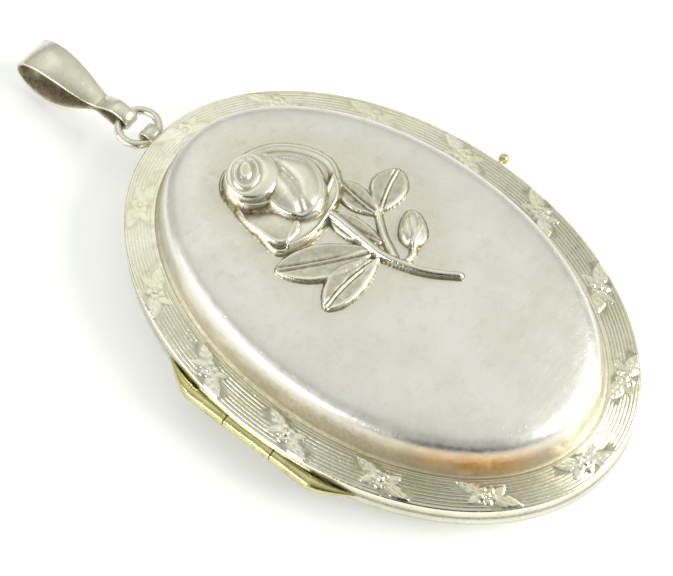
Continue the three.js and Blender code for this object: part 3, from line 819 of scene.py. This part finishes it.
def snap_collar():
    """The open band the lid clicks over, cut away beside the hinge."""
    hinge_gap = math.asin(COLLAR_GAP / 23.3)
    turns = np.linspace(-1, 1, 361) * (math.pi - hinge_gap)
    outer, foot, top = SHEET + 0.05, SEAM_Z - BACK_LEDGE, SEAM_Z + 0.65
    section = [(outer, foot), (outer, SEAM_Z + 0.2), (outer + 0.02, top - 0.08), (outer + 0.12, top),
               (outer + 0.3, top - 0.05), (outer + 0.3, foot)]
    rows = []
    for inset, z in section:
        a, b = semi_axes(inset)
        rows.append([(a * math.cos(t), b * math.sin(t), z) for t in turns])
    points = np.array(rows)
    count = len(turns)
    faces = grid_faces(len(section), count, True, False)
    faces.append([r * count for r in range(len(section))])
    faces.append([r * count + count - 1 for r in reversed(range(len(section)))])
    band = add_object("collar_band", points.reshape(-1, 3), faces, GILT)
    return own(sharp_edges(band), "back", "brass", "snap_collar")


def photo_set(body, side, ledge, prefix):
    """Card, clear window and pressed frame in one cover."""
    card, glazing, lip, gap, edge = 0.2, 0.26, 0.22, 0.02, 1.2
    top = 2 * gap + card + glazing + lip

    def z(offset):
        return ledge + side * offset

    def plate(name, low, high, material, slot):
        profile = [(CENTRE, z(low)), (edge, z(low)), (edge, z(high)), (CENTRE, z(high))]
        piece = oval_piece(f"{prefix}_{name}", profile[::side], material, closed=False)
        own(sharp_edges(piece), body, slot, f"{prefix}_photo_{name}")

    plate("card", gap, gap + card, PAPER, "photo_card")
    plate("window", 2 * gap + card, gap + card + glazing, CELLULOID, "celluloid")
    outer_roll = [(1.25 + 0.35 * math.cos(t), z(top - 0.18 + 0.18 * math.sin(t)))
                  for t in np.linspace(math.pi, 0, 9)]
    inner_roll = [(2.2 - 0.2 * math.cos(t), z(top - 0.12 + 0.12 * math.sin(t)))
                  for t in np.linspace(0, math.pi, 9)]
    under = [(2.6, z(top - 0.06)), (2.6, z(top - lip + gap)), (1.17, z(top - lip + gap)),
             (1.17, z(0))]
    profile = [(0.9, z(0))] + outer_roll + inner_roll + under
    ring = oval_piece(prefix + "_frame", profile[::side], GILT)
    own(sharp_edges(ring, 50), body, "brass", prefix + "_photo_frame")


# ---- hinge ---------------------------------------------------------------------------------
def knuckle_profile(y0, y1):
    """[radius, along] of a bored barrel with softened ends."""
    soft = 0.06
    return [(BORE_R, y0), (KNUCKLE_R - soft, y0), (KNUCKLE_R, y0 + soft), (KNUCKLE_R, y1 - soft),
            (KNUCKLE_R - soft, y1), (BORE_R, y1), (BORE_R, y0)]


def hinge():
    """Barrels, leaf, tapered ends and pin."""
    axis = (AXIS_X, 0, SEAM_Z)
    middle = lathe("hinge_middle", knuckle_profile(-MIDDLE_HALF, MIDDLE_HALF), axis, "Y", BRASS)
    own(sharp_edges(middle), "lid", "brass", "hinge_knuckle_middle")
    flange = [(-15.75, -MIDDLE_HALF), (-15.45, -MIDDLE_HALF), (-15.45, MIDDLE_HALF),
              (-15.75, MIDDLE_HALF)]
    plate = prism("hinge_leaf", flange, SEAM_Z - 0.3, SEAM_Z + 0.95, BRASS)
    own(bevel(sharp_edges(plate), 0.05), "lid", "brass", "hinge_knuckle_middle")
    for side, word in ((1, "upper"), (-1, "lower")):
        ends = sorted((side * (MIDDLE_HALF + 0.06), side * HINGE_HALF))
        barrel = lathe(f"hinge_{word}", knuckle_profile(*ends), axis, "Y", BRASS)
        own(sharp_edges(barrel), "back", "brass", f"hinge_knuckle_{word}")
        own(sharp_edges(wing(side, word), 60), "back", "brass", f"hinge_knuckle_{word}")
    cap = 0.03
    rod = [(0.01, -HINGE_HALF), (PIN_R - cap, -HINGE_HALF), (PIN_R, cap - HINGE_HALF),
           (PIN_R, HINGE_HALF - cap), (PIN_R - cap, HINGE_HALF), (0.01, HINGE_HALF)]
    pin = lathe("hinge_rod", rod, axis, "Y", GILT)
    own(sharp_edges(pin), "back", "brass", "hinge_pin")


def wing(side, word):
    """The end of the hinge: it leaves the barrel round and tapers out along the oval."""
    def wall(y):
        return -HALF_WIDTH * math.sqrt(1 - (y / HALF_LENGTH) ** 2)

    steps, around = 22, 28
    rows = []
    for t in np.linspace(0, 1, steps):
        y = HINGE_HALF - 0.05 + (WING_HALF - HINGE_HALF) * t
        radius = (KNUCKLE_R + 0.01) * (1 - t ** 1.4) + 0.07 * t
        ease = smoothstep(t, -0.25, 1.05)
        x = AXIS_X * (1 - ease) + (wall(y) - 0.02) * ease
        turn = np.arange(around) / around * 2 * np.pi
        z = SEAM_Z - 0.22 * ease + radius * np.sin(turn)
        rows.append(np.stack([x + radius * np.cos(turn), np.full(around, side * y), z], -1))
    points = np.array(rows).reshape(-1, 3)
    faces = grid_faces(steps, around, False, True)
    faces += [tuple(range(around))[::-1], tuple(range((steps - 1) * around, steps * around))]
    if side > 0:
        faces = [face[::-1] for face in faces]
    return add_object(f"hinge_wing_{word}", points, faces, BRASS)


# ---- small parts ---------------------------------------------------------------------------
def thumb_stud():
    """A ball on a short neck, opposite the hinge."""
    ball = [(STUD_R * math.sin(t), 0.84 - STUD_R * math.cos(t))
            for t in np.linspace(0.5, math.pi - 0.02, 18)]
    profile = [(0.3, -0.05), (0.27, 0.1), (0.23, 0.3)] + ball
    stud = lathe("stud_ball", profile, (HALF_WIDTH, 0, SEAM_Z + 0.6), "X", GILT, 32)
    return own(stud, "lid", "brass", "thumb_stud")


def suspension_eye():
    """A short tube across the top of the back cover, with its solder foot."""
    half, soft = EYE_LENGTH / 2, 0.07
    profile = [(EYE_HOLE_R, -half + soft), (EYE_HOLE_R + soft, -half), (EYE_R - soft, -half),
               (EYE_R, -half + soft), (EYE_R, half - soft), (EYE_R - soft, half),
               (EYE_HOLE_R + soft, half), (EYE_HOLE_R, half - soft), (EYE_HOLE_R, -half + soft)]
    centre = (0, HALF_LENGTH + EYE_R, SEAM_Z)
    eye = lathe("eye_tube", profile, centre, "X", BAIL_SILVER, 56)
    own(eye, "back", "silver_plate", "suspension_eye")
    y0, y1 = HALF_LENGTH - 0.1, HALF_LENGTH + 0.2
    outline = [(-half, y0), (half, y0), (half - 0.1, y1), (-half + 0.1, y1)]
    foot = prism("eye_solder", outline, SEAM_Z - 0.75, SEAM_Z - 0.05, BAIL_SILVER)
    own(bevel(sharp_edges(foot), 0.1), "back", "silver_plate", "suspension_eye")


def jump_ring():
    """The round wire ring through the eye."""
    turns, round_wire = 96, 20
    centre = (0, RING_START + RING_R, SEAM_Z)
    angle = np.arange(turns) / turns * 2 * np.pi
    wire = np.arange(round_wire) / round_wire * 2 * np.pi
    reach = RING_R + WIRE_R * np.cos(wire)[None, :]
    x = reach * np.cos(angle)[:, None]
    y = reach * np.sin(angle)[:, None]
    z = np.repeat((WIRE_R * np.sin(wire))[None, :], turns, axis=0)
    points = np.stack([x, y, z], -1).reshape(-1, 3) + centre
    faces = grid_faces(turns, round_wire, True, True)
    ring = add_object("ring_wire", points, faces, BAIL_SILVER)
    return own(ring, "ring", "silver_plate", "jump_ring")


# upper half of the bent strip: [along, up, half width]
BAIL_LINE = [(-0.9, 0, 0.7), (-0.55, 0.62, 0.7), (0.5, 0.95, 0.72), (1.7, 0.62, 0.75),
             (2.6, 0.25, 0.8), (3.4, 0.36, 0.95), (5.0, 1.05, 1.3), (6.9, 1.75, 1.55),
             (8.7, 1.95, 1.65), (10.2, 1.55, 1.65), (11.0, 0.7, 1.65), (11.2, 0, 1.65)]


def bail():
    """One strip bent into a small loop round the ring, a pinch and a long upper loop."""
    under = [(along, -up, half) for along, up, half in BAIL_LINE[-2:0:-1]]
    line = closed_curve(BAIL_LINE + under)
    count = len(line)
    tangent = np.roll(line, -1, axis=0) - np.roll(line, 1, axis=0)
    tangent = tangent[:, :2] / np.linalg.norm(tangent[:, :2], axis=1)[:, None]
    normal = np.stack([-tangent[:, 1], tangent[:, 0]], -1)
    soft, thick = 0.1, STRIP / 2
    # side of the strip, shift inwards, height in its thickness
    section = [(-1, 0, thick - soft), (-1, soft, thick), (1, -soft, thick), (1, 0, thick - soft),
               (1, 0, soft - thick), (1, -soft, -thick), (-1, soft, -thick), (-1, 0, soft - thick)]
    rows = []
    inside = []
    for side, shift, layer in section:
        rows.append(np.stack([side * line[:, 2] + shift, line[:, 0] + normal[:, 0] * layer,
                              line[:, 1] + normal[:, 1] * layer], -1))
        inside.append(np.full(count, 0.0 if layer > 0 else 0.9))
    points = np.array(rows).reshape(-1, 3)
    droop = math.radians(BAIL_DROOP)
    y, z = points[:, 1].copy(), points[:, 2].copy()
    points[:, 1] = y * math.cos(droop) - z * math.sin(droop)
    points[:, 2] = y * math.sin(droop) + z * math.cos(droop)
    points += (0, RING_START + 2 * RING_R, SEAM_Z)
    faces = [face[::-1] for face in grid_faces(len(section), count, True, True)]
    strip = add_object("bail_strip", points, faces, BAIL_SILVER,
                       {"tarnish_and_shade": np.concatenate(inside)})
    return own(sharp_edges(strip, 60), "bail", "silver_plate", "bail")


# ---- studio --------------------------------------------------------------------------------
LIGHT_AIM = Vector((0.0, 0.0, 0.005))
WARM_WHITE = (1.0, 0.99, 0.96)
FLOOR_HALF = 600.0
FLOOR_Z = -0.02          # just under the locket


def camera():
    """A long lens from the hinge side and the foot of the oval, steeply above."""
    azimuth, elevation, distance = math.radians(-50.6), math.radians(61.3), 0.2
    level = math.cos(elevation)
    back = Vector((math.sin(azimuth) * level, -math.cos(azimuth) * level, math.sin(elevation)))
    target = Vector((-1.93, 2.81, SEAM_Z + BAND)) * MM
    data = bpy.data.cameras.new("camera")
    data.lens = 130.0
    data.sensor_width = 36.0
    data.clip_start = 0.01
    obj = bpy.data.objects.new("camera", data)
    obj.location = target + back * distance
    obj.rotation_euler = back.to_track_quat("Z", "Y").to_euler()
    bpy.context.scene.collection.objects.link(obj)
    bpy.context.scene.camera = obj


def area_light(name, place, size, power, colour):
    """A card of light aimed at the locket; place and size in metres, power in watts."""
    data = bpy.data.lights.new(name, "AREA")
    data.shape = "RECTANGLE"
    data.size, data.size_y = size
    data.energy = power
    data.color = colour
    obj = bpy.data.objects.new(name, data)
    obj.location = place
    obj.rotation_euler = (Vector(place) - LIGHT_AIM).to_track_quat("Z", "Y").to_euler()
    bpy.context.scene.collection.objects.link(obj)


def sky():
    """A bright tent with a dark opening where the photographer stands."""
    world = bpy.data.worlds.new("tent")
    bpy.context.scene.world = world
    world.use_nodes = True
    tree = world.node_tree
    background = tree.nodes["Background"]
    place = tree.nodes.new("ShaderNodeTexCoord").outputs["Generated"]

    def lobe(direction, low, high, start, end):
        """start away from the direction, end towards it, between two cosines."""
        dot = tree.nodes.new("ShaderNodeVectorMath")
        dot.operation = "DOT_PRODUCT"
        dot.inputs[1].default_value = Vector(direction).normalized()
        tree.links.new(place, dot.inputs[0])
        ramp = tree.nodes.new("ShaderNodeMapRange")
        ramp.interpolation_type = "SMOOTHSTEP"
        ramp.inputs["From Min"].default_value = low
        ramp.inputs["From Max"].default_value = high
        ramp.inputs["To Min"].default_value = start
        ramp.inputs["To Max"].default_value = end
        tree.links.new(dot.outputs["Value"], ramp.inputs["Value"])
        return ramp.outputs["Result"]

    def product(first, second):
        node = tree.nodes.new("ShaderNodeMath")
        node.operation = "MULTIPLY"
        tree.links.new(first, node.inputs[0])
        tree.links.new(second, node.inputs[1])
        return node.outputs[0]

    opening = lobe((-0.85, -0.45, 0.2), 0.80, 0.93, 1.0, 0.03)
    overhead = lobe((0.45, 0.22, 0.86), 0.55, 1.0, 0.49, 0.90)
    tree.links.new(product(opening, overhead), background.inputs["Strength"])
    background.inputs["Color"].default_value = (0.985, 1.0, 0.94, 1.0)
    bpy.context.scene.view_settings.view_transform = "Standard"


def studio():
    """A pale sheet under the locket, the sky and three cards of light."""
    n = Nodes("paper_sweep")
    n.set("Base Color", n.mix(n.noise(30.0), (0.90, 0.91, 0.91), (0.93, 0.93, 0.93)))
    n.set("Roughness", 0.7)
    n.set("Emission Color", (0.97, 1.0, 1.0))
    n.set("Emission Strength", 0.18)
    corners = [(-1, -1), (1, -1), (1, 1), (-1, 1)]
    floor_points = [(x * FLOOR_HALF, y * FLOOR_HALF, FLOOR_Z) for x, y in corners]
    floor = add_object("floor", floor_points, [(0, 1, 2, 3)], n.material)
    sky()
    area_light("window", (0.05, 0.28, 0.25), (0.34, 0.34), 0.10, (1.0, 1.0, 0.96))
    area_light("left_card", (-0.27, 0.13, 0.12), (0.30, 0.07), 0.45, WARM_WHITE)
    area_light("right_card", (0.136, -0.231, 0.187), (0.24, 0.16), 0.95, WARM_WHITE)


camera()
front_rim()
front_dome()
rose_relief()
back_cover()
snap_collar()
photo_set("back", 1, SEAM_Z - BACK_LEDGE, "back")
photo_set("lid", -1, SEAM_Z + FRONT_LEDGE, "front")
hinge()
thumb_stud()
suspension_eye()
jump_ring()
bail()
studio()
